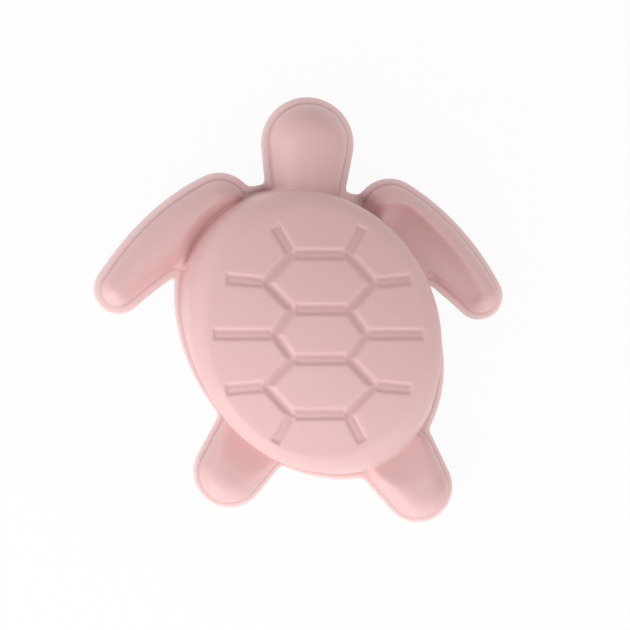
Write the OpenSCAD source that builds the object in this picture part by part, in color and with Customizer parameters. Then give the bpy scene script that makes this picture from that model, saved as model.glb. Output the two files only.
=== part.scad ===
// Turtle sand mould: one soft moulding, open underneath, that is pressed full of wet sand.
// Head towards +Y, open mouth down on z = 0, origin under the middle of the whole outline.

/* [Carapace] */
// Width of the carapace at the foot of its wall
carapace_w = 85.6; // [78:0.2:94]
// Length of the carapace at the foot of its wall
carapace_l = 94; // [86:1:102]
// Height of the carapace above the surface the mould lies on
carapace_h = 32; // [28:1:40]
// Rise of the crown above the rounded shoulder
crown_rise = 7; // [4:0.5:10]
// Radius of the shoulder between wall and crown
shoulder_r = 5.5; // [3:0.5:8]
// Lean of the wall, so that the sand slips out, in degrees
wall_lean = 5; // [1:0.5:9]
// Sideways pull of the soft foot along one diagonal, against the crown
foot_skew_share = 0.12; // [0:0.01:0.15]

/* [Wall and rim] */
// Thickness of the soft wall
wall = 2; // [1.4:0.1:3]
// How far the rim stands out beyond the foot of the wall
rim_w = 2; // [1:0.1:3]
// Thickness of the rim
rim_h = 1.8; // [1:0.1:3]
// Radius that rounds the inner corners of the outline
notch_r = 1.6; // [0.5:0.1:3]

/* [Shell pattern] */
// Width of a groove
groove_w = 3.6; // [2:0.1:4.8]
// Depth of a groove
groove_depth = 1; // [0.5:0.1:1.4]
// Radius at the corners of a groove's outline
groove_corner_r = 0.6; // [0.2:0.1:0.9]

/* [Head] */
// Radius of the head at the foot of its wall
head_r = 13.5; // [11:0.1:15]
// Radius of the neck at the foot of its wall
neck_r = 9.8; // [8:0.1:13]
// Height of the head
head_h = 16; // [12:0.5:20]
// Distance from the middle of the carapace to the middle of the head
head_reach = 62.6; // [56:0.2:70]

/* [Front flippers] */
// Radius of a front flipper at its tip
front_tip_r = 6.1; // [4:0.1:7]
// Radius of a front flipper halfway along
front_middle_r = 8.8; // [7:0.1:10]
// Radius of a front flipper at the shoulder
front_root_r = 9.8; // [8:0.1:11]
// Height of a front flipper at its tip
front_tip_h = 10.5; // [8:0.5:14]
// Height of a front flipper at the shoulder
front_root_h = 12.5; // [10:0.5:17]
// Radius of the low web in the corner behind a front flipper
web_r = 5.6; // [4:0.1:7]
// Height of that web
web_h = 7; // [5:0.5:9]

/* [Rear flippers] */
// Radius of a rear flipper at its end
rear_tip_r = 10; // [7:0.1:11]
// Radius of a rear flipper at its root
rear_root_r = 11.6; // [9:0.1:13]
// Height of a rear flipper at its end
rear_tip_h = 12; // [9:0.5:15]
// Height of a rear flipper at its root
rear_root_h = 14; // [11:0.5:17]

/* [Hidden] */

silicone = [0.86, 0.68, 0.68];
// How far a cut runs past the face that it opens
overrun = 1;
// Sides of a revolved dome, of the carapace, of a groove's corner and of a rounded notch
dome_sides = 24;
carapace_sides = 48;
corner_sides = 12;
notch_sides = 24;
// Fullness of a limb's cross-section: 2 is an ellipse, more is boxier
limb_fullness = 3;
// Steps of a limb's cross-section, of the shoulder and of the crown
dome_steps = 5;
shoulder_steps = 4;
crown_steps = 4;
// Directions in which the flat outline of a limb is measured
outline_sides = 72;
// Stations along the bow of a front flipper
bow_steps = 4;

half_w = carapace_w / 2;
half_l = carapace_l / 2;

// Slope at the edge of the crown, where the shoulder takes over
crown_slope = atan(2 * crown_rise / half_w);
shoulder_sweep = 90 - crown_slope;
wall_top = carapace_h - crown_rise - shoulder_r * sin(shoulder_sweep);
lean_in = (wall_top - rim_h) * tan(wall_lean);
crown_in = lean_in + shoulder_r * (1 - cos(shoulder_sweep));
crown_half = [half_w - crown_in, half_l - crown_in];

// Places of the limbs as shares of the carapace's half width and half length.
// The soft mould lies a little askew, so left and right differ.
head_side_share = -0.02;
neck_shares = [-0.047, 0.80];
left_tip_shares = [-1.486, 0.296];
left_middle_shares = [-1.10, 0.64];
left_shoulder_shares = [-0.706, 0.87];
left_web_shares = [-1.05, 0.552];
left_root_shares = [-0.667, 0.58];
right_tip_shares = [1.335, 0.26];
right_middle_shares = [1.00, 0.59];
right_shoulder_shares = [0.628, 0.84];
right_web_shares = [0.963, 0.495];
right_root_shares = [0.608, 0.54];
left_rear_tip_shares = [-0.629, -0.984];
left_rear_root_shares = [-0.412, -0.69];
right_rear_tip_shares = [0.842, -1.103];
right_rear_root_shares = [0.687, -0.89];

// Corners of the shell pattern as shares of the crown's half width and half length
plate_edge_share = 0.24;
plate_inner_share = 0.19;
plate_outer_share = 0.611;
plate_side_shares = [0.465, 0.395];
plate_waist_share = 0.39;
ray_end_shares = [0.359, 0.802];
ray_side_shares = [0.76, 0.42];
ray_waist_share = 0.868;
pattern_shift_share = -0.018;

// A limb is one or two skins; a skin is a list of stations that it is stretched over,
// and a station is a place, a radius at the foot of the wall and a height
function place(shares) = [shares[0] * half_w, shares[1] * half_l];
function station(shares, r, h) = concat(place(shares), [r, h]);
// Stations on the smooth bow from a to c that passes through b halfway
function bow(a, b, c) =
    [for (i = [0 : bow_steps])
        let (u = i / bow_steps)
        (1 - u) * (1 - 2 * u) * a + 4 * u * (1 - u) * b + u * (2 * u - 1) * c];

function front_limb(tip_shares, middle_shares, shoulder_shares, web_shares, root_shares) =
    let (
        tip = station(tip_shares, front_tip_r, front_tip_h),
        middle = station(middle_shares, front_middle_r, (front_tip_h + front_root_h) / 2),
        shoulder = station(shoulder_shares, front_root_r, front_root_h),
        web = [
            station(web_shares, web_r, web_h),
            station(shoulder_shares, front_middle_r, web_h),
            station(root_shares, front_middle_r, web_h)])
    [bow(tip, middle, shoulder), web];
function rear_limb(tip_shares, root_shares) =
    [[station(tip_shares, rear_tip_r, rear_tip_h), station(root_shares, rear_root_r, rear_root_h)]];
head_limb = [[
    [head_side_share * half_w, head_reach, head_r, head_h],
    station(neck_shares, neck_r, head_h)]];
front_left = front_limb(
    left_tip_shares, left_middle_shares, left_shoulder_shares, left_web_shares, left_root_shares);
front_right = front_limb(
    right_tip_shares, right_middle_shares, right_shoulder_shares, right_web_shares, right_root_shares);
rear_left = rear_limb(left_rear_tip_shares, left_rear_root_shares);
rear_right = rear_limb(right_rear_tip_shares, right_rear_root_shares);
limbs = [head_limb, front_left, front_right, rear_left, rear_right];
stations = [for (limb = limbs, skin = limb, s = skin) s];

// Middle of the whole outline, which is moved over the origin
outer_left = min([for (s = stations) s[0] - s[2]]);
outer_right = max([for (s = stations) s[0] + s[2]]);
outer_back = min([for (s = stations) s[1] - s[2]]);
outer_front = max([for (s = stations) s[1] + s[2]]);
middle = [(outer_left + outer_right) / 2, (outer_back + outer_front) / 2, 0];

// Carapace: rings of an ellipse that is askew at its foot and true at its crown
function skewed(x, y, z) =
    let (pull = foot_skew_share * (1 - max(0, z - rim_h) / (carapace_h - rim_h)))
    [x - pull * y, y - pull * x, z];
function carapace_ring(half, z) =
    [for (i = [0 : carapace_sides - 1])
        let (a = 360 * i / carapace_sides)
        skewed(half[0] * cos(a), half[1] * sin(a), z)];
function crown_z(u) = carapace_h - crown_rise * u * u;
// Rows of wall and shoulder: how far each lies in from the foot, and its height
function shoulder_rows() =
    [for (i = [0 : shoulder_steps])
        let (t = shoulder_sweep * i / shoulder_steps)
        [lean_in + shoulder_r * (1 - cos(t)), wall_top + shoulder_r * sin(t)]];
function carapace_rings(inset, down) =
    let (foot = inset_half(inset))
    concat(
        [carapace_ring(foot, rim_h - down)],
        [for (row = shoulder_rows()) carapace_ring(inset_half(row[0] + inset), row[1] - inset)],
        [for (i = [1 : crown_steps - 1])
            let (u = 1 - i / crown_steps)
            carapace_ring(inset_half(crown_in + inset) * u, crown_z(u) - inset)]);
function inset_half(d) = [half_w - d, half_l - d];

// Solid inside the carapace's outer face, or inside its inner face when inset by the wall
module carapace_form(inset, down) {
    rings = carapace_rings(inset, down);
    n = carapace_sides;
    last = len(rings) - 1;
    points = concat([for (ring = rings, p = ring) p], [[0, 0, carapace_h - inset]]);
    apex = len(points) - 1;
    foot = [for (i = [0 : n - 1]) i];
    sides = [for (k = [0 : last - 1], i = [0 : n - 1], upper = [false, true])
        let (j = (i + 1) % n, low = k * n, high = low + n)
        upper ? [low + j, high + i, high + j] : [low + i, high + i, low + j]];
    top = [for (i = [0 : n - 1]) [last * n + i, apex, last * n + (i + 1) % n]];
    polyhedron(points, concat([foot], sides, top));
}

// Shell pattern: straight grooves between corners given in one quarter of the crown
edge = plate_edge_share;
plate_rows = [plate_inner_share, plate_outer_share];
quarter_grooves = [
    [[edge, plate_outer_share], plate_side_shares],
    [plate_side_shares, [edge, plate_inner_share]],
    [[edge, plate_inner_share], [plate_waist_share, 0]],
    [[edge, plate_outer_share], ray_end_shares],
    [plate_side_shares, ray_side_shares]];
function crown_point(shares) =
    [shares[0] * crown_half[0], (shares[1] + pattern_shift_share) * crown_half[1]];

module stroke(from, to) {
    a = crown_point(from);
    b = crown_point(to);
    translate(a)
        rotate(atan2(b[1] - a[1], b[0] - a[0]))
            translate([-groove_w / 2, -groove_w / 2])
                square([norm(b - a) + groove_w, groove_w]);
}
module pattern_outline() {
    offset(r = groove_corner_r, $fn = corner_sides) offset(delta = -groove_corner_r) {
        for (y = [-1, 1], row = plate_rows) stroke([-edge, y * row], [edge, y * row]);
        for (x = [-1, 1], y = [-1, 1], g = quarter_grooves)
            stroke([x * g[0][0], y * g[0][1]], [x * g[1][0], y * g[1][1]]);
        for (x = [-1, 1]) stroke([x * plate_waist_share, 0], [x * ray_waist_share, 0]);
    }
}
// What the pattern takes off a form, one groove depth deep all over
module pattern_cut(inset) {
    difference() {
        translate([0, 0, rim_h]) linear_extrude(carapace_h) pattern_outline();
        translate([0, 0, -groove_depth]) carapace_form(inset, 0);
    }
}
module grooved_form(inset, down) {
    difference() {
        carapace_form(inset, down);
        pattern_cut(inset);
    }
}

// Limbs: full-bodied domes joined by their common skin
module dome(s, inset, down) {
    r = s[2] - inset;
    h = s[3] - inset - rim_h;
    side = [for (i = [0 : dome_steps - 1])
        let (a = 90 * i / dome_steps)
        [r * pow(cos(a), 2 / limb_fullness), rim_h + h * pow(sin(a), 2 / limb_fullness)]];
    translate([s[0], s[1], 0])
        rotate_extrude($fn = dome_sides)
            polygon(concat([[0, rim_h - down], [r, rim_h - down]], side, [[0, rim_h + h]]));
}
module limb_form(limb, inset, down) {
    for (skin = limb)
        hull()
            for (s = skin) dome(s, inset, down);
}
module limb_shell(limb) {
    difference() {
        limb_form(limb, 0, 0);
        limb_form(limb, wall, overrun);
        carapace_form(0, overrun);
    }
}

// Flat outline of the mould at the foot of its wall, grown by a length or shrunk by a negative one.
// In each direction a skin touches the station that reaches furthest that way.
function furthest(skin, a) =
    let (reach = [for (s = skin) s[0] * cos(a) + s[1] * sin(a) + s[2]])
    skin[search(max(reach), reach)[0]];
function skin_outline(skin, grow) =
    [for (i = [0 : outline_sides - 1])
        let (a = 360 * i / outline_sides, s = furthest(skin, a), r = s[2] + grow)
        [s[0] + r * cos(a), s[1] + r * sin(a)]];
module outline(grow) {
    polygon([for (p = carapace_ring(inset_half(-grow), rim_h)) [p[0], p[1]]]);
    for (limb = limbs, skin = limb) polygon(skin_outline(skin, grow));
}

module placed() {
    color(silicone) translate(-middle) children();
}

module rim() {
    placed() linear_extrude(rim_h) difference() {
        offset(r = -notch_r, $fn = notch_sides) offset(delta = notch_r) outline(rim_w);
        outline(-wall);
    }
}
module carapace() {
    placed() difference() {
        grooved_form(0, 0);
        grooved_form(wall, overrun);
        for (limb = limbs) limb_form(limb, wall, overrun);
    }
}
module head() { placed() limb_shell(head_limb); }
module front_left_flipper() { placed() limb_shell(front_left); }
module front_right_flipper() { placed() limb_shell(front_right); }
module rear_left_flipper() { placed() limb_shell(rear_left); }
module rear_right_flipper() { placed() limb_shell(rear_right); }

rim();
carapace();
head();
front_left_flipper();
front_right_flipper();
rear_left_flipper();
rear_right_flipper();
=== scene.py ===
# %% [markdown]
# # A soft turtle sand mould
# The real thing is one silicone moulding, about 2 mm thick and open underneath. A grooved carapace, a head
# and four flippers flow into each other, and a rounded lip runs round the whole outline. One continuous skin
# could be modelled by hand with subdivision surfaces, but every crease and the even wall would then be hand
# work. Here the shape follows a rule instead: a field says how far any point lies from the skin, and
# Geometry Nodes turn that field into a mesh. Creases, fillets and the even wall come out of a few sums.

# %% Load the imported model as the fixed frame
import math

import bpy
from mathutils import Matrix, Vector


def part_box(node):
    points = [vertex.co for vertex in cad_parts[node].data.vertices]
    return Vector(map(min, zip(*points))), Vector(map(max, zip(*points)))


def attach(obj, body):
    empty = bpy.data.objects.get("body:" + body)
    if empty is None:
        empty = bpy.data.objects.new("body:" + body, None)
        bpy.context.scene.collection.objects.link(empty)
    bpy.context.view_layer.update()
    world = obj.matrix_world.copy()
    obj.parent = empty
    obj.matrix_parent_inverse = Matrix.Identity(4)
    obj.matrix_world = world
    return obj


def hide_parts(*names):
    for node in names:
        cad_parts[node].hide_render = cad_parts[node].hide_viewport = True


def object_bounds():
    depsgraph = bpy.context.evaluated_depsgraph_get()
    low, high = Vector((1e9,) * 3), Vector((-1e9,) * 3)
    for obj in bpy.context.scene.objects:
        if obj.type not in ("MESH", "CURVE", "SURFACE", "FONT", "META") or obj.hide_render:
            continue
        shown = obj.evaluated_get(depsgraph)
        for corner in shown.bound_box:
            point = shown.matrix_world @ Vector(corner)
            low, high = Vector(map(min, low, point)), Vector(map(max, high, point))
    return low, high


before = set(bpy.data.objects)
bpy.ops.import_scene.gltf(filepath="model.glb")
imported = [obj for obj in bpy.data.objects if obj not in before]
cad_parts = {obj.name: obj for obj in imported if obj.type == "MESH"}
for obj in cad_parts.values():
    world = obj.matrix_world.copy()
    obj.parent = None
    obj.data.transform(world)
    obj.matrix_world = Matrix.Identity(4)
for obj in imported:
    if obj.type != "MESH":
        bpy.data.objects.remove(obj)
cad_box = [list(corner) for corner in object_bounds()]
print("CAD box in metres", cad_box)

# %% [markdown]
# ## Sums that add their own nodes
# A node tree full of Math nodes is hard to read as a list of links. A small class that wraps a socket and
# overloads + - * / lets the same sum be written as plain arithmetic, and each operation adds its own node.
# The same class serves the geometry and the material.


# %% A socket that can be used in sums
class Wire:
    """A socket of a node tree that can be used in sums, like a number."""

    def __init__(self, tree, socket):
        self.tree = tree
        self.socket = socket

    @classmethod
    def add(cls, tree, kind, settings=None, inputs=None, output=0):
        """Adds a node: its settings are set first, then the values or links of its sockets."""
        node = tree.nodes.new(kind)
        for name, value in (settings or {}).items():
            setattr(node, name, value)
        for key, value in (inputs or {}).items():
            if isinstance(value, Wire):
                tree.links.new(value.socket, node.inputs[key])
            else:
                node.inputs[key].default_value = value
        return cls(tree, node.outputs[output])

    def maths(self, operation, *values):
        return Wire.add(self.tree, "ShaderNodeMath", {"operation": operation}, dict(enumerate(values)))

    def __add__(self, other):
        return self.maths("ADD", self, other)

    def __radd__(self, other):
        return self.maths("ADD", other, self)

    def __sub__(self, other):
        return self.maths("SUBTRACT", self, other)

    def __rsub__(self, other):
        return self.maths("SUBTRACT", other, self)

    def __mul__(self, other):
        return self.maths("MULTIPLY", self, other)

    def __rmul__(self, other):
        return self.maths("MULTIPLY", other, self)

    def __truediv__(self, other):
        return self.maths("DIVIDE", self, other)

    def __rtruediv__(self, other):
        return self.maths("DIVIDE", other, self)

    def __pow__(self, other):
        return self.maths("POWER", self, other)

    def __neg__(self):
        return self.maths("MULTIPLY", self, -1)

    def __abs__(self):
        return self.maths("ABSOLUTE", self)

    def root(self):
        return self.maths("SQRT", self)

    def at_least(self, other):
        return self.maths("MAXIMUM", self, other)

    def at_most(self, other):
        return self.maths("MINIMUM", self, other)

    def share(self):
        """The value held between 0 and 1."""
        return self.at_least(0).at_most(1)

    def blend_min(self, other, width):
        """The smaller of two distances, with a fillet where they are about equal."""
        return self.maths("SMOOTH_MIN", self, other, width)

    def blend_max(self, other, width):
        """The larger of two distances, with a fillet where they are about equal."""
        return self.maths("SMOOTH_MAX", self, other, width)

    def parts(self):
        """The x, y and z of a vector."""
        node = Wire.add(self.tree, "ShaderNodeSeparateXYZ", inputs={0: self}).socket.node
        return [Wire(self.tree, node.outputs[axis]) for axis in range(3)]


trial = bpy.data.node_groups.new("trial", "GeometryNodeTree")
rest = 1 - Wire.add(trial, "ShaderNodeValue").share()
print("1 - value.share() makes", len(trial.nodes), "nodes and ends in", rest.socket.node.operation)
bpy.data.node_groups.remove(trial)


# %% Sums on distances
def square_sum(*parts):
    total = parts[0] * parts[0]
    for part in parts[1:]:
        total = total + part * part
    return total


def length(*parts):
    """Length of a vector that is given by its parts."""
    return square_sum(*parts).root()


def eased(share):
    """A share from 0 to 1 that starts and ends without a corner."""
    return share * share * (3 - 2 * share)


def round_max(a, b, radius):
    """The larger of two distances, with the edge between them rounded to a radius."""
    inside = a.at_least(b).at_most(-radius)
    return inside + length((a + radius).at_least(0), (b + radius).at_least(0))


print("eased shares in quarters:", [round(eased(step / 4), 2) for step in range(5)])

# %% [markdown]
# ## Sizes
# All sizes are in millimetres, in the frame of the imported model: the mouth lies on z = 0 and the head points
# towards +Y. These sizes become named inputs of the trees below, and each is written once.

# %% Sizes of the mould
MM = 0.001
SIZES = {
    "Carapace width": 85.6,
    "Carapace length": 94.0,
    "Carapace height": 32.0,
    "Crown rise": 7.0,
    "Shoulder radius": 5.5,
    "Wall": 2.0,
    "Rim width": 2.0,
    "Rim height": 1.8,
    "Rim edge radius": 0.6,
    "Groove mouth": 4.6,
    "Zigzag floor": 0.2,
    "Zigzag depth": 0.9,
    "Channel floor": 2.0,
    "Channel depth": 0.65,
    "Crease": 1.2,
    "Left valley floor by the head": 6.5,
    "Left valley floor at the armpit": 2.8,
    "Left valley width": 6.5,
    "Right valley floor by the head": 2.5,
    "Right valley floor at the armpit": 6.0,
    "Right valley width": 8.0,
    "Rear valley floor": 10.0,
    "Rear valley width": 16.0,
    "Notch": 2.8,
}
for node in sorted(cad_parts):
    low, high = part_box(node)
    print(node, "spans", [round((b - a) / MM, 1) for a, b in zip(low, high)], "mm")

# %% [markdown]
# ## Spines of the limbs
# Head and flippers are long soft bodies. Each is laid out along a spine, whose stations give a place, a
# radius at the foot of the wall and a height. A front flipper bows through three stations, and a low web
# fills the corner behind it. The soft mould lies a little askew, so left and right differ slightly.

# %% Stations: x, y, radius and height
STATIONS = {
    "head": [(2.38, 55.47, 13.5, 16), (1.23, 30.47, 9.8, 16)],
    "front_left": [(-60.36, 6.78, 6.1, 10.5), (-43.84, 22.95, 8.8, 11.5), (-26.98, 33.76, 9.8, 12.5)],
    "front_right": [(60.38, 5.09, 6.1, 10.5), (46.04, 20.59, 8.8, 11.5), (30.12, 32.34, 9.8, 12.5)],
    "rear_left": [(-23.68, -53.38, 10, 12), (-14.39, -39.56, 11.6, 14)],
    "rear_right": [(39.28, -58.98, 10, 12), (32.64, -48.96, 11.6, 14)],
}
WEBS = {
    "front_left": [(-41.70, 18.81, 5.6, 7), (-25.31, 20.12, 8.8, 7)],
    "front_right": [(44.46, 16.13, 5.6, 7), (29.26, 18.25, 8.8, 7)],
}
for limb, stations in STATIONS.items():
    reach = math.dist(stations[0][:2], stations[-1][:2])
    print(limb, "has", len(stations), "stations over", round(reach, 1), "mm")

# %% [markdown]
# The distance from a point to a straight spine has an exact formula. When the radius changes along the
# spine, the nearest point of the skin isn't square to the spine, so the foot of the distance slides along by
# the lean of the wall. A bowed spine is a parabola; a few Newton steps slide the foot along it.

# %% Distance, radius and height along a spine
BOW_STEPS = 3


def straight_spine(x, y, start, end):
    """Distance to a straight spine, and the radius and height at its nearest point."""
    dx, dy = end[0] - start[0], end[1] - start[1]
    span = math.hypot(dx, dy)
    lean = (end[2] - start[2]) / span
    slide = lean / math.sqrt(1 - lean * lean)
    px, py = x - start[0], y - start[1]
    along = (px * dx + py * dy) / span
    across = abs(px * dy - py * dx) / span
    t = ((along + across * slide) / span).share()
    away = length(px - t * dx, py - t * dy)
    return away, start[2] + t * (end[2] - start[2]), start[3] + t * (end[3] - start[3])


def bowed_spine(x, y, stations):
    """The same for the parabola through three stations, the second halfway along."""
    a, b, c = stations
    linear = [4 * q - 3 * p - r for p, q, r in zip(a, b, c)]
    square = [2 * p - 4 * q + 2 * r for p, q, r in zip(a, b, c)]
    dx, dy = c[0] - a[0], c[1] - a[1]
    t = (((x - a[0]) * dx + (y - a[1]) * dy) / (dx * dx + dy * dy)).share()

    def at(axis):
        return a[axis] + t * (linear[axis] + t * square[axis])

    def rate(axis):
        return linear[axis] + t * (2 * square[axis])

    for _ in range(BOW_STEPS):
        px, py = x - at(0), y - at(1)
        sx, sy = rate(0), rate(1)
        step = (px * sx + py * sy + length(px, py) * rate(2)) / (sx * sx + sy * sy)
        t = (t + step).share()
    return length(x - at(0), y - at(1)), at(2), at(3)


def limb_spine(x, y, stations):
    if len(stations) == 3:
        return bowed_spine(x, y, stations)
    return straight_spine(x, y, *stations)


def web_spines(x, y, limb):
    """The low spines behind a front flipper: from the corner to its root, and on to its shoulder."""
    if limb not in WEBS:
        return []
    corner, root = WEBS[limb]
    low_shoulder = (*STATIONS[limb][-1][:2], *root[2:])
    return [straight_spine(x, y, corner, root), straight_spine(x, y, root, low_shoulder)]


bowed = [limb for limb, stations in STATIONS.items() if len(stations) == 3]
print("bowed spines:", bowed)

# %% [markdown]
# ## Domes over the spines
# A limb is a full-bodied dome, steep at its foot and nearly flat on top. Half an ellipse would be too lean,
# so the cross-section is a superellipse: with a fullness of 2 it is an ellipse, and above that it grows
# squarer. Dividing by the slope turns its value into nearly a true distance close to the skin.

# %% Distance to a limb and to its outline
FULLNESS = {"head": 2.3, "front_left": 2.1, "front_right": 2.4, "rear_left": 2.8, "rear_right": 2.8}
FOOT_INSET = {"head": 0.6, "front_left": 0.7, "front_right": 0.3, "rear_left": 0.0, "rear_right": 0.0}
WEB_BLEND = 1.5
# Least values keep divisions away from zero
LEAST_SIZE = 1e-4
LEAST_SLOPE = 1e-3


def pillow(spine, z, rim_height, fullness, inset):
    """Distance to the full-bodied dome that stands over a spine."""
    away, radius, height = spine
    radius = radius - inset
    rise = height - rim_height
    out = away / radius
    up = (z - rim_height).at_least(0) / rise
    size = (out**fullness + up**fullness) ** (1 / fullness) + LEAST_SIZE
    steep = fullness - 1
    slope = length((out / size) ** steep / radius, (up / size) ** steep / rise) + LEAST_SLOPE
    return (size - 1) / slope


def limb_distance(x, y, z, size, limb):
    """Distance to a limb with its web and to its flat outline, and the limb's height."""
    form = size["Rim height"], FULLNESS[limb], FOOT_INSET[limb]
    own = limb_spine(x, y, STATIONS[limb])
    body, flat = pillow(own, z, *form), own[0] - own[1]
    for low_spine in web_spines(x, y, limb):
        body = body.blend_min(pillow(low_spine, z, *form), WEB_BLEND)
        flat = flat.blend_min(low_spine[0] - low_spine[1], WEB_BLEND)
    return body, flat, own[2]


print("fullest limb:", max(FULLNESS, key=FULLNESS.get))

# %% [markdown]
# ## The shell pattern
# Two zigzag grooves run down the crown. Bars between them part it into three plates, and ten rays run
# outwards. The pattern is the same in each quarter, so folding x and y to their positive sides leaves eight
# strokes to measure instead of twenty-six. The zigzag is almost a V. Bars and rays are shallower channels
# with a faintly crowned floor, and they stop a little short of the zigzag, so a low ridge is left at each
# joint. All sides run down in a soft S.

# %% Strokes of the shell pattern, as shares of the crown's half width and half length
EDGE, INNER, OUTER, WAIST = 0.24, 0.19, 0.611, 0.39
PLATE_SIDE = (0.465, 0.395)
FRONT_RAY_END, SIDE_RAY_END, WAIST_RAY_END = (0.353, 0.791), (0.747, 0.42), (0.855, 0)
PATTERN_SHIFT = -0.018
ZIGZAG = [
    ((EDGE, OUTER), PLATE_SIDE),
    (PLATE_SIDE, (EDGE, INNER)),
    ((EDGE, INNER), (WAIST, 0)),
]
BARS_AND_RAYS = [
    ((EDGE, INNER), (-EDGE, INNER)),
    ((EDGE, OUTER), (-EDGE, OUTER)),
    ((EDGE, OUTER), FRONT_RAY_END),
    (PLATE_SIDE, SIDE_RAY_END),
    ((WAIST, 0), WAIST_RAY_END),
]
# How far the edge of the crown lies inside the foot of the wall, in millimetres
CROWN_INSET = 5.33
CROWN_HALF = tuple(SIZES[name] / 2 - CROWN_INSET for name in ("Carapace width", "Carapace length"))
print(len(ZIGZAG + BARS_AND_RAYS), "strokes; half the crown is", [round(h, 2) for h in CROWN_HALF], "mm")

# %% Depth of the grooves
GROOVE_CORNER = 0.8
FLOOR_CROWN = 0.5
JOINT_GAP = 2.5


def stroke_distance(x, y, start, end, gap):
    """Distance from the middle line of a stroke with square ends that starts a gap away from a joint."""
    ax, ay, bx, by = (p * half for p, half in zip((*start, *end), CROWN_HALF * 2))
    dx, dy = bx - ax, by - ay
    span = math.hypot(dx, dy)
    px, py = x - (ax + bx) / 2, y - (ay + by) / 2
    along = abs((px * dx + py * dy) / span - gap / 2) - (span - gap) / 2
    across = abs(px * dy - py * dx) / span
    return along.blend_max(across, GROOVE_CORNER)


def stroke_depth(x, y, strokes, gap, mouth, floor, depth):
    """How deep the nearest of some strokes cuts at a place."""
    near = stroke_distance(x, y, *strokes[0], gap)
    for ends in strokes[1:]:
        near = near.at_most(stroke_distance(x, y, *ends, gap))
    crown = (1 - (near / (floor / 2)) ** 2).at_least(0) * FLOOR_CROWN * floor / mouth
    return depth * (eased(((mouth / 2 - near) / ((mouth - floor) / 2)).share()) - crown)


def groove_cut(x, y, size):
    """How deep the shell pattern cuts into the crown at a place."""
    px, py = abs(x), abs(y - PATTERN_SHIFT * CROWN_HALF[1])
    mouth = size["Groove mouth"]
    zigzag = stroke_depth(px, py, ZIGZAG, 0, mouth, size["Zigzag floor"], size["Zigzag depth"])
    channel = size["Channel floor"], size["Channel depth"]
    return zigzag.at_least(stroke_depth(px, py, BARS_AND_RAYS, JOINT_GAP, mouth, *channel))


print("zigzag", SIZES["Zigzag depth"], "mm deep, bars and rays", SIZES["Channel depth"], "mm")

# %% [markdown]
# ## The carapace
# Seen from above, the carapace is an ellipse that is pulled askew at its foot and true at its crown. Its
# wall leans in a little, so that the sand slips out, and a rounded shoulder leads to a low crown. Two
# distances, to the wall and to the crown, meet in a rounded edge, and the grooves lower the crown.

# %% Distance to the carapace, and to its foot ellipse
CARAPACE_MIDDLE = (3.24, -7.135)
WALL_LEAN = math.tan(math.radians(5))
FOOT_SKEW = 0.12
LEAST_RATE = 1e-5


def ellipse_distance(x, y, half_w, half_l):
    u, v = x / half_w, y / half_l
    ring = length(u, v)
    return ring * (ring - 1) / (length(u / half_w, v / half_l) + LEAST_RATE)


def unskewed(x, y, pull):
    """A place of the skewed ellipse, brought back to where it lies on the true one."""
    shrink = 1 - pull * pull
    return (x + pull * y) / shrink, (y + pull * x) / shrink


def foot_distance(x, y, size):
    """Distance to the outline of the carapace at its foot, seen from above."""
    foot = unskewed(x, y, FOOT_SKEW)
    return ellipse_distance(*foot, size["Carapace width"] / 2, size["Carapace length"] / 2)


def carapace_distance(x, y, z, size, groove):
    half_w, half_l = size["Carapace width"] / 2, size["Carapace length"] / 2
    above = (z - size["Rim height"]).at_least(0)
    rise = size["Carapace height"] - size["Rim height"]
    pull = FOOT_SKEW * (1 - above / rise).at_least(0)
    tx, ty = unskewed(x, y, pull)
    wall = ellipse_distance(tx, ty, half_w, half_l) + above * WALL_LEAN
    u, v = tx / CROWN_HALF[0], ty / CROWN_HALF[1]
    ring = u * u + v * v
    drop = size["Crown rise"] * ring + groove
    fall = 2 * size["Crown rise"] / half_w
    steep = (1 + ring * (fall * fall)).root()
    crown = (z - size["Carapace height"] + drop) / steep
    return round_max(wall, crown, size["Shoulder radius"])


print("the wall leans in by", round(WALL_LEAN * SIZES["Carapace height"], 1), "mm over its height")

# %% [markdown]
# ## Valleys and a trough
# A flipper slopes down to the carapace in a valley. Beside the right one it is deepest by the head, beside
# the left one at the armpit. The right front flipper has also sunk in along its length, which leaves a ridge
# near its outer edge. Sculpting could make such dents, but as slopes and as a bowed tube that takes away
# from the flipper they stay exact and can be moved.

# %% Slopes that take away from the flippers
# Where along y the floor of a front valley starts by the head and ends at the armpit
VALLEY_RUN = (38.0, 16.0)
VALLEY_SHAPE = {"front_left": 0.6, "front_right": 1.0, "rear_left": 1.5, "rear_right": 1.5}
VALLEY_BLEND = {"front_left": 1.5, "front_right": 2.0, "rear_left": 2.0, "rear_right": 2.0}
# The slope ends this far above the flipper, and starts this share of its width away from the carapace
VALLEY_CREST = 1.0
VALLEY_START = 0.01
# Stations of the tube: place, radius and height of its middle
TROUGH = [(54.0, 5.0, 7.4, 15.5), (43.8, 15.8, 8.8, 15.5), (31.0, 26.4, 9.5, 15.0)]
TROUGH_BLEND = 2.0


def valleys(y, size):
    """The height of the floor and the width of the valley beside each flipper."""
    head_end, armpit_end = VALLEY_RUN
    down = ((head_end - y) / (head_end - armpit_end)).share()
    found = {}
    for side in ("left", "right"):
        name = f"{side.title()} valley"
        first, last = size[f"{name} floor by the head"], size[f"{name} floor at the armpit"]
        found[f"front_{side}"] = first + down * (last - first), size[f"{name} width"]
        found[f"rear_{side}"] = size["Rear valley floor"], size["Rear valley width"]
    return found


def above_valley(body, z, floor, ridge, width, shape):
    """Distance above a slope from a ridge to a floor: a shape under 1 bulges, one over 1 is hollow."""
    near = (body / width).at_least(VALLEY_START).at_most(1)
    rise = ridge - floor
    steep = shape * rise / width * near ** (shape - 1)
    return (z - floor - rise * near**shape) / (1 + steep * steep).root()


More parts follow.
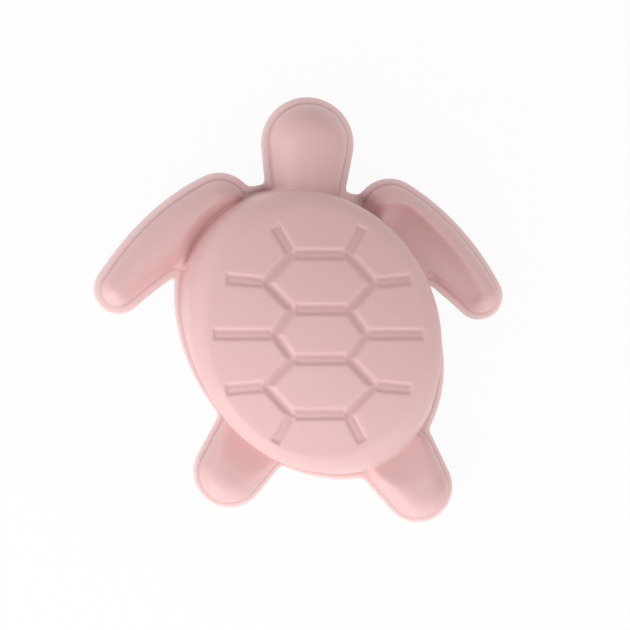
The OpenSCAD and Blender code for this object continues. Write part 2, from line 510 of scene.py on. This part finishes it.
def inside_trough(x, y, z):
    """How far a place lies inside the bowed tube of the trough."""
    away, radius, height = bowed_spine(x, y, TROUGH)
    return radius - length(away, z - height)


print("the trough's floor lies at", [round(height - radius, 1) for _, _, radius, height in TROUGH], "mm")

# %% [markdown]
# ## The whole skin as one field
# The carapace and the limbs join in narrow creases. The lip follows the flat outline of all of them, and
# also fills two flat corners, right of the head and in the left armpit. What lies deeper than the wall is
# hollow, and nothing lies below the mouth. Joining and cutting meshes with Booleans would leave sharp seams,
# while distances blend.

# %% Lip round the outline
# Stations as for the limbs, but a flat corner has no height
FLAT_CORNERS = [
    [(12.0, 33.5, 4.5, 0), (24.0, 31.0, 4.5, 0)],
    [(-43.2, 15.4, 2.2, 0), (-38.0, 15.4, 2.2, 0)],
]


def lip_distance(x, y, z, size, outline):
    for corner in FLAT_CORNERS:
        away, radius, _ = straight_spine(x, y, *corner)
        outline = outline.blend_min(away - radius, size["Notch"])
    half = size["Rim height"] / 2
    level = abs(z - half) - half
    return round_max(outline - size["Rim width"], level, size["Rim edge radius"])


print("the lip fills", len(FLAT_CORNERS), "flat corners")

# %% Node group that measures the distance from any point to the skin
FOOT_BLEND = 0.8
EDGE_BLEND = 0.6


def body_and_outline(x, y, z, size, groove):
    """Distance to the carapace with all limbs, and to their outline on the ground."""
    cx, cy = x - CARAPACE_MIDDLE[0], y - CARAPACE_MIDDLE[1]
    body = carapace_distance(cx, cy, z, size, groove)
    outline = foot_distance(cx, cy, size)
    slopes = valleys(y, size)
    for limb in STATIONS:
        form, flat, height = limb_distance(x, y, z, size, limb)
        if limb in slopes:
            floor, width = slopes[limb]
            slope = above_valley(body, z, floor, height + VALLEY_CREST, width, VALLEY_SHAPE[limb])
            form = form.blend_max(slope, VALLEY_BLEND[limb])
        if limb == "front_right":
            form = form.blend_max(inside_trough(x, y, z), TROUGH_BLEND)
        body = body.blend_min(form, size["Crease"])
        outline = outline.blend_min(flat, size["Notch"])
    return body, outline


def build_field():
    tree = bpy.data.node_groups.new("mould_field", "GeometryNodeTree")
    tree.interface.new_socket("Place", in_out="INPUT", socket_type="NodeSocketVector")
    for name in SIZES:
        tree.interface.new_socket(name, in_out="INPUT", socket_type="NodeSocketFloat")
    for name in ("Distance", "Foot", "Groove"):
        tree.interface.new_socket(name, in_out="OUTPUT", socket_type="NodeSocketFloat")
    entry, leave = tree.nodes.new("NodeGroupInput"), tree.nodes.new("NodeGroupOutput")
    size = {name: Wire(tree, entry.outputs[name]) for name in SIZES}
    x, y, z = Wire(tree, entry.outputs["Place"]).parts()

    groove = groove_cut(x - CARAPACE_MIDDLE[0], y - CARAPACE_MIDDLE[1], size)
    body, outline = body_and_outline(x, y, z, size, groove)
    solid = body.blend_min(lip_distance(x, y, z, size, outline), FOOT_BLEND)
    hollow = -(body + size["Wall"])
    skin = solid.blend_max(hollow, EDGE_BLEND).at_least(-z)
    for name, wire in (("Distance", skin), ("Foot", body), ("Groove", groove)):
        tree.links.new(wire.socket, leave.inputs[name])
    return tree


field = build_field()
print("the field has", len(field.nodes), "nodes")

# %% [markdown]
# ## From field to mesh
# A Volume Cube samples the field on a fine grid, and Volume to Mesh draws the skin where the distance is
# zero. That mesh is even but heavy, so a Decimate modifier will thin it where it is flat. Sampling is the
# plain way to mesh a field: it copes with any number of blends, at the price of a grid.

# %% Tree that samples the field and draws its skin
VOXEL = 0.45
MARGIN = 3.0
SKIN_DENSITY = 0.5
DENSITY_PER_MM = 0.25


def mould_tree(name):
    """An empty tree with geometry in and out and one named input for each size."""
    tree = bpy.data.node_groups.new(name, "GeometryNodeTree")
    tree.interface.new_socket("Geometry", in_out="INPUT", socket_type="NodeSocketGeometry")
    tree.interface.new_socket("Geometry", in_out="OUTPUT", socket_type="NodeSocketGeometry")
    for size in SIZES:
        tree.interface.new_socket(size, in_out="INPUT", socket_type="NodeSocketFloat")
    entry, leave = tree.nodes.new("NodeGroupInput"), tree.nodes.new("NodeGroupOutput")
    return tree, entry, leave


def position(tree):
    return Wire.add(tree, "GeometryNodeInputPosition")


def field_at(tree, entry, place, output="Distance"):
    sizes = {name: Wire(tree, entry.outputs[name]) for name in SIZES}
    settings = {"node_tree": field}
    return Wire.add(tree, "GeometryNodeGroup", settings, {"Place": place, **sizes}, output)


def build_skin_tree(low, high):
    tree, entry, leave = mould_tree("field_to_skin")
    distance = field_at(tree, entry, position(tree))
    density = (SKIN_DENSITY - distance * DENSITY_PER_MM).share()
    counts = [round((b - a) / VOXEL) + 1 for a, b in zip(low, high)]
    cube = {"Density": density, "Min": low, "Max": high}
    cube.update(zip(("Resolution X", "Resolution Y", "Resolution Z"), counts))
    volume = Wire.add(tree, "GeometryNodeVolumeCube", inputs=cube)
    drawn = {"Volume": volume, "Threshold": SKIN_DENSITY}
    mesh = Wire.add(tree, "GeometryNodeVolumeToMesh", {"resolution_mode": "GRID"}, drawn)
    tree.links.new(mesh.socket, leave.inputs["Geometry"])
    print("the grid has", counts, "points")
    return tree


grid_low = tuple(value / MM - MARGIN for value in cad_box[0])
grid_high = tuple(value / MM + MARGIN for value in cad_box[1])
skin_tree = build_skin_tree(grid_low, grid_high)

# %% [markdown]
# ## Silicone
# Soft silicone in a dusty rose: matte with a faint satin bloom, and a little translucent, so light creeps
# into thin edges. Its colour is nearly even, with very soft clouds and a fine grain from the mould tool. The
# lip is thinner, and it is painted a shade paler as painted light for the glow in its thin edge. Painted shade
# darkens the crease along its foot and the grooves, and painted shadow darkens the corners beside the head.
# Vertex paint could place these tones, but two attributes from the field, how far a point lies outside the
# body and how deep a groove is, place them exactly.

# %% Colours of the silicone
ROSE = (0.715, 0.452, 0.442)
PALE_ROSE = (0.765, 0.510, 0.498)
# Painted light: the lip is painted paler for the glow in its thin translucent edge
LIP_GLOW_ROSE = (0.860, 0.660, 0.650)
# Painted shade in the grooves
GROOVE_SHADE_ROSE = (0.560, 0.325, 0.315)
# Painted shade in the crease along the foot of the lip
CREASE_SHADE_ROSE = (0.520, 0.300, 0.305)
# Painted shadow in the deep corners beside the head
CORNER_SHADOW_ROSE = (0.250, 0.115, 0.105)
CLOUD_START, CLOUD_SHARE = 0.3, 0.35
# How strongly the painted glow of the lip and the painted shade of crease, grooves and corners are mixed in
LIP_GLOW_SHARE, CREASE_SHADE_SHARE, GROOVE_SHADE_SHARE, CORNER_SHADOW_SHARE = 0.9, 0.4, 0.45, 0.7
# How far the painted crease shade reaches from the foot, and up and down from the lip's height
CREASE_SHADE_REACH, CREASE_SHADE_HEIGHT = 0.9, 1.4
# Where painted shadow darkens the corners beside the head, as stations like those of the limbs
SHADOWED_CORNERS_BY_HEAD = [
    [(-20.5, 36.0, 2.8, 6), (-12.0, 40.0, 2.8, 6)],
    [(20.7, 37.0, 3.4, 6), (26.0, 33.5, 3.4, 6)],
]
# Sockets of a Mix node go by number, because their names repeat
MIX_SHARE, MIX_FIRST, MIX_SECOND, MIX_COLOUR = 0, 6, 7, 2


def tinted(tree, share, first, second):
    """A colour between two, by a share. The first may be a wire."""
    base = first if isinstance(first, Wire) else (*first, 1)
    inputs = {MIX_SHARE: share, MIX_FIRST: base, MIX_SECOND: (*second, 1)}
    return Wire.add(tree, "ShaderNodeMix", {"data_type": "RGBA"}, inputs, MIX_COLOUR)


def attribute(tree, name):
    return Wire.add(tree, "ShaderNodeAttribute", {"attribute_name": name}, output="Fac")


# The rose with its clouds, plus painted light on the lip and painted shade in the crease, grooves and corners
def silicone_colour_with_painted_light(tree, place, soft):
    foot, groove = attribute(tree, "foot_mm"), attribute(tree, "groove_mm")
    x, y, z = (part / MM for part in place.parts())
    base = tinted(tree, (soft - CLOUD_START).share() * CLOUD_SHARE, ROSE, PALE_ROSE)
    # The lip is painted paler, as painted light for the glow in its thin edge
    base = tinted(tree, foot.share() * LIP_GLOW_SHARE, base, LIP_GLOW_ROSE)
    # Painted shade along the crease at the foot of the lip
    crease_shade = (1 - abs(foot) / CREASE_SHADE_REACH).share()
    crease_shade = crease_shade * (1 - abs(z - SIZES["Rim height"]) / CREASE_SHADE_HEIGHT).share()
    base = tinted(tree, crease_shade * CREASE_SHADE_SHARE, base, CREASE_SHADE_ROSE)
    # Painted shade in the grooves, deeper where they are deeper
    base = tinted(tree, (groove / SIZES["Channel depth"]).share() * GROOVE_SHADE_SHARE, base, GROOVE_SHADE_ROSE)
    # The painted shadow of a corner is full up to its height and gone at twice that
    for corner in SHADOWED_CORNERS_BY_HEAD:
        away, radius, height = straight_spine(x, y, *corner)
        corner_shadow = (1 - away / radius).share() * (2 - z / height).share()
        base = tinted(tree, corner_shadow * CORNER_SHADOW_SHARE, base, CORNER_SHADOW_ROSE)
    return base


print("the rose is", ROSE, "and", len(SHADOWED_CORNERS_BY_HEAD), "corners are deeper in tone")

# %% Material of the mould
CLOUD_SIZE, CLOUD_DETAIL = 0.030, 2
GRAIN_SIZE, GRAIN_DETAIL = 0.0006, 3
GRAIN_STRENGTH, GRAIN_HEIGHT = 0.08, 0.0001
ROUGHNESS, CLOUD_ROUGHNESS, GRAIN_ROUGHNESS = 0.40, 0.08, 0.04
EVEN_FINISH = {
    "Subsurface Weight": 0.15,
    "Subsurface Radius": (1.0, 0.5, 0.4),
    "Subsurface Scale": 0.0015,
    "Sheen Weight": 0.2,
    "Sheen Roughness": 0.4,
}


def noise(tree, place, size, detail):
    """Soft noise from 0 to 1 whose lumps have a size in metres."""
    inputs = {"Vector": place, "Scale": 1 / size, "Detail": detail}
    return Wire.add(tree, "ShaderNodeTexNoise", inputs=inputs)


def silicone():
    material = bpy.data.materials.new("rose_silicone")
    material.use_nodes = True
    tree = material.node_tree
    shader = tree.nodes["Principled BSDF"]
    place = Wire.add(tree, "ShaderNodeTexCoord", output="Object")
    soft = noise(tree, place, CLOUD_SIZE, CLOUD_DETAIL)
    fine = noise(tree, place, GRAIN_SIZE, GRAIN_DETAIL)
    bump = {"Strength": GRAIN_STRENGTH, "Distance": GRAIN_HEIGHT, "Height": fine}
    surface = {
        "Base Color": silicone_colour_with_painted_light(tree, place, soft),
        "Roughness": ROUGHNESS + CLOUD_ROUGHNESS * soft + GRAIN_ROUGHNESS * fine,
        "Normal": Wire.add(tree, "ShaderNodeBump", inputs=bump),
    }
    for name, wire in surface.items():
        tree.links.new(wire.socket, shader.inputs[name])
    for name, value in EVEN_FINISH.items():
        shader.inputs[name].default_value = value
    return material


rose = silicone()
print("the material has", len(rose.node_tree.nodes), "nodes")

# %% [markdown]
# ## Polish
# Thinning moves points a little off the skin. A second tree pushes each point the last few hundredths of a
# millimetre along the field's slope, stores what the material needs, turns millimetres into metres and
# gives the mould its silicone. Smoothing could hide the same flaws, but it would also wear the grooves away.

# %% Tree that polishes the thinned skin
GRADIENT_STEP = 0.05
POLISH_STEPS = 2


def moved(tree, place, offset):
    return Wire.add(tree, "ShaderNodeVectorMath", {"operation": "ADD"}, {0: place, 1: offset})


def onto_skin(tree, entry, geometry):
    """Moves each point along the field's slope, onto the skin."""
    place = position(tree)
    here = field_at(tree, entry, place)
    steps = [tuple(GRADIENT_STEP * (axis == k) for k in range(3)) for axis in range(3)]
    there = [field_at(tree, entry, moved(tree, place, step)) for step in steps]
    slope = [(value - here) / GRADIENT_STEP for value in there]
    push = -here / (square_sum(*slope) + LEAST_SLOPE)
    push = push.at_least(-VOXEL).at_most(VOXEL)
    offset = Wire.add(tree, "ShaderNodeCombineXYZ", inputs=dict(enumerate(s * push for s in slope)))
    return Wire.add(tree, "GeometryNodeSetPosition", inputs={"Geometry": geometry, "Offset": offset})


def above_floor(tree, geometry):
    """Lifts onto z = 0 what the last step has pushed a hair below it."""
    x, y, z = position(tree).parts()
    place = Wire.add(tree, "ShaderNodeCombineXYZ", inputs={0: x, 1: y, 2: z.at_least(0)})
    return Wire.add(tree, "GeometryNodeSetPosition", inputs={"Geometry": geometry, "Position": place})


def stored(tree, geometry, name, value):
    settings = {"data_type": "FLOAT", "domain": "POINT"}
    inputs = {"Geometry": geometry, "Name": name, "Value": value}
    return Wire.add(tree, "GeometryNodeStoreNamedAttribute", settings, inputs)


def build_polish_tree(material):
    tree, entry, leave = mould_tree("polish_skin")
    geometry = Wire(tree, entry.outputs["Geometry"])
    for _ in range(POLISH_STEPS):
        geometry = onto_skin(tree, entry, geometry)
    geometry = above_floor(tree, geometry)
    for name, output in (("foot_mm", "Foot"), ("groove_mm", "Groove")):
        geometry = stored(tree, geometry, name, field_at(tree, entry, position(tree), output))
    geometry = Wire.add(tree, "GeometryNodeTransform", inputs={"Geometry": geometry, "Scale": (MM,) * 3})
    for kind in ("GeometryNodeSetShadeSmooth", "GeometryNodeRealizeInstances"):
        geometry = Wire.add(tree, kind, inputs={"Geometry": geometry})
    finish = {"Geometry": geometry, "Material": material}
    geometry = Wire.add(tree, "GeometryNodeSetMaterial", inputs=finish)
    tree.links.new(geometry.socket, leave.inputs["Geometry"])
    return tree


polish_tree = build_polish_tree(rose)
print("the polish has", len(polish_tree.nodes), "nodes")

# %% [markdown]
# ## The mould
# Drawing, thinning and polishing now run one after the other on one object. After each run the result is
# turned into a plain mesh, so the finished piece carries no modifiers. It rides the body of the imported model
# and stands in for all of its regions, since the real mould is one moulding.

# %% Make the mould
MOST_TRIANGLES = 190000


def run_tree(piece, tree):
    """Adds a tree as a modifier and sets its named inputs by their identifiers."""
    modifier = piece.modifiers.new(tree.name, "NODES")
    modifier.node_group = tree
    for item in tree.interface.items_tree:
        if item.in_out == "INPUT" and item.name in SIZES:
            modifier[item.identifier] = SIZES[item.name]


def settled(piece, name):
    """Turns the evaluated piece into a plain mesh and counts its triangles."""
    depsgraph = bpy.context.evaluated_depsgraph_get()
    mesh = bpy.data.meshes.new_from_object(piece.evaluated_get(depsgraph))
    mesh.name = name
    piece.modifiers.clear()
    piece.data = mesh
    mesh.calc_loop_triangles()
    return len(mesh.loop_triangles)


def make_mould():
    piece = bpy.data.objects.new("turtle_mould", bpy.data.meshes.new("start"))
    bpy.context.scene.collection.objects.link(piece)
    run_tree(piece, skin_tree)
    heavy = settled(piece, "heavy_skin")
    thin = piece.modifiers.new("thin_out", "DECIMATE")
    thin.ratio = min(1, MOST_TRIANGLES / heavy)
    run_tree(piece, polish_tree)
    light = settled(piece, "turtle_mould")
    print("skin drawn with", heavy, "triangles and thinned to", light)
    return piece


mould = make_mould()
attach(mould, "root")
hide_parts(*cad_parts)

# %% [markdown]
# ## Floor
# The mould lies on a plain white ground. A white plane alone would turn grey away from the lamps, so most of
# what the camera sees of it is its own even glow, and the rest is matte, which keeps a soft shadow.

# %% Floor that looks white to the camera
FLOOR_HALF = 3.0
FLOOR_GREY = (0.9, 0.9, 0.9, 1)
WHITE = (1, 1, 1, 1)
WHITE_SHARE = 0.9


def seen_directly(tree):
    """1 for rays from the camera, or through gloss and glass, and 0 for light that bounces."""
    path = tree.nodes.new("ShaderNodeLightPath")
    names = ("Is Camera Ray", "Is Glossy Ray", "Is Transmission Ray")
    seen = [Wire(tree, path.outputs[name]) for name in names]
    return (seen[0] + seen[1] + seen[2]).share()


def white_floor():
    material = bpy.data.materials.new("white_floor")
    material.use_nodes = True
    tree = material.node_tree
    tree.nodes.clear()
    matte = Wire.add(tree, "ShaderNodeBsdfDiffuse", inputs={"Color": FLOOR_GREY})
    glow = Wire.add(tree, "ShaderNodeEmission", inputs={"Color": WHITE})
    mixed = {0: seen_directly(tree) * WHITE_SHARE, 1: matte, 2: glow}
    shader = Wire.add(tree, "ShaderNodeMixShader", inputs=mixed)
    out = tree.nodes.new("ShaderNodeOutputMaterial")
    tree.links.new(shader.socket, out.inputs["Surface"])
    return material


def make_floor():
    corners = [(x * FLOOR_HALF, y * FLOOR_HALF, 0) for x, y in ((-1, -1), (1, -1), (1, 1), (-1, 1))]
    mesh = bpy.data.meshes.new("floor")
    mesh.from_pydata(corners, [], [(0, 1, 2, 3)])
    mesh.materials.append(white_floor())
    floor = bpy.data.objects.new("floor", mesh)
    bpy.context.scene.collection.objects.link(floor)


make_floor()
print("the floor is", 2 * FLOOR_HALF, "m wide")

# %% [markdown]
# ## Light
# An even white world gives most of the light, as a light tent does. Low soft lamps on the left and the tail
# side brighten the sides that face them, and one from above lifts the flats. One strong lamp would be
# simpler, but it would burn out the pale shoulder and draw hard shadows.

# %% Lamps and world
WORLD_LIGHT = 0.66
LAMP_DISTANCE = 0.9
LAMP_SIZE = 0.6
# Azimuth and elevation in degrees, and power in watts
LAMPS = {
    "left": (180, 20, 1.1),
    "tail_left": (225, 20, 3.5),
    "tail": (270, 20, 1.0),
    "tail_right": (315, 20, 1.4),
    "overhead": (270, 70, 0.6),
}
centre = Vector((CARAPACE_MIDDLE[0] * MM, CARAPACE_MIDDLE[1] * MM, 0))


def make_lamp(name, azimuth, elevation, power):
    turn, lift = math.radians(azimuth), math.radians(elevation)
    across, up = math.cos(lift), math.sin(lift)
    direction = Vector((across * math.cos(turn), across * math.sin(turn), up))
    lamp = bpy.data.lights.new(name, "AREA")
    lamp.shape = "DISK"
    lamp.size = LAMP_SIZE
    lamp.energy = power
    holder = bpy.data.objects.new(name, lamp)
    holder.location = centre + direction * LAMP_DISTANCE
    holder.rotation_euler = direction.to_track_quat("Z", "Y").to_euler()
    bpy.context.scene.collection.objects.link(holder)


def make_world():
    world = bpy.data.worlds.new("studio")
    bpy.context.scene.world = world
    world.use_nodes = True
    tree = world.node_tree
    background = tree.nodes["Background"]
    background.inputs["Color"].default_value = WHITE
    strength = WORLD_LIGHT + (1 - WORLD_LIGHT) * seen_directly(tree)
    tree.links.new(strength.socket, background.inputs["Strength"])


for lamp_name, settings in LAMPS.items():
    make_lamp(lamp_name, *settings)
make_world()
print(len(LAMPS), "lamps give", round(sum(power for *_, power in LAMPS.values()), 1), "W")

# %% [markdown]
# ## Camera
# The photograph was taken from almost straight above, leaning a little to the left. The camera stands at
# that angle and distance. A shift of the lens, and not a turn, brings the carapace to its place in the
# frame.

# %% Camera at the photograph's angle
CAMERA_TILT = math.radians(6.7)
CAMERA_DISTANCE = 0.650
FRAME_PIXELS = 630
PIXELS_PER_RADIAN = 1950
SENSOR = 36.0
MIDDLE_PIXEL = (309.6, 332.0)


def make_camera():
    view = bpy.data.cameras.new("camera")
    view.sensor_width = SENSOR
    view.lens = SENSOR * PIXELS_PER_RADIAN / FRAME_PIXELS
    view.shift_x = (FRAME_PIXELS / 2 - MIDDLE_PIXEL[0]) / FRAME_PIXELS
    view.shift_y = (MIDDLE_PIXEL[1] - FRAME_PIXELS / 2) / FRAME_PIXELS
    camera = bpy.data.objects.new("camera", view)
    direction = Vector((-math.sin(CAMERA_TILT), 0, math.cos(CAMERA_TILT)))
    camera.location = centre + CAMERA_DISTANCE * direction
    camera.rotation_euler = (0, -CAMERA_TILT, 0)
    bpy.context.scene.collection.objects.link(camera)
    bpy.context.scene.camera = camera
    print("the lens is", round(view.lens, 1), "mm long")


make_camera()
bpy.context.scene.view_settings.view_transform = "Standard"
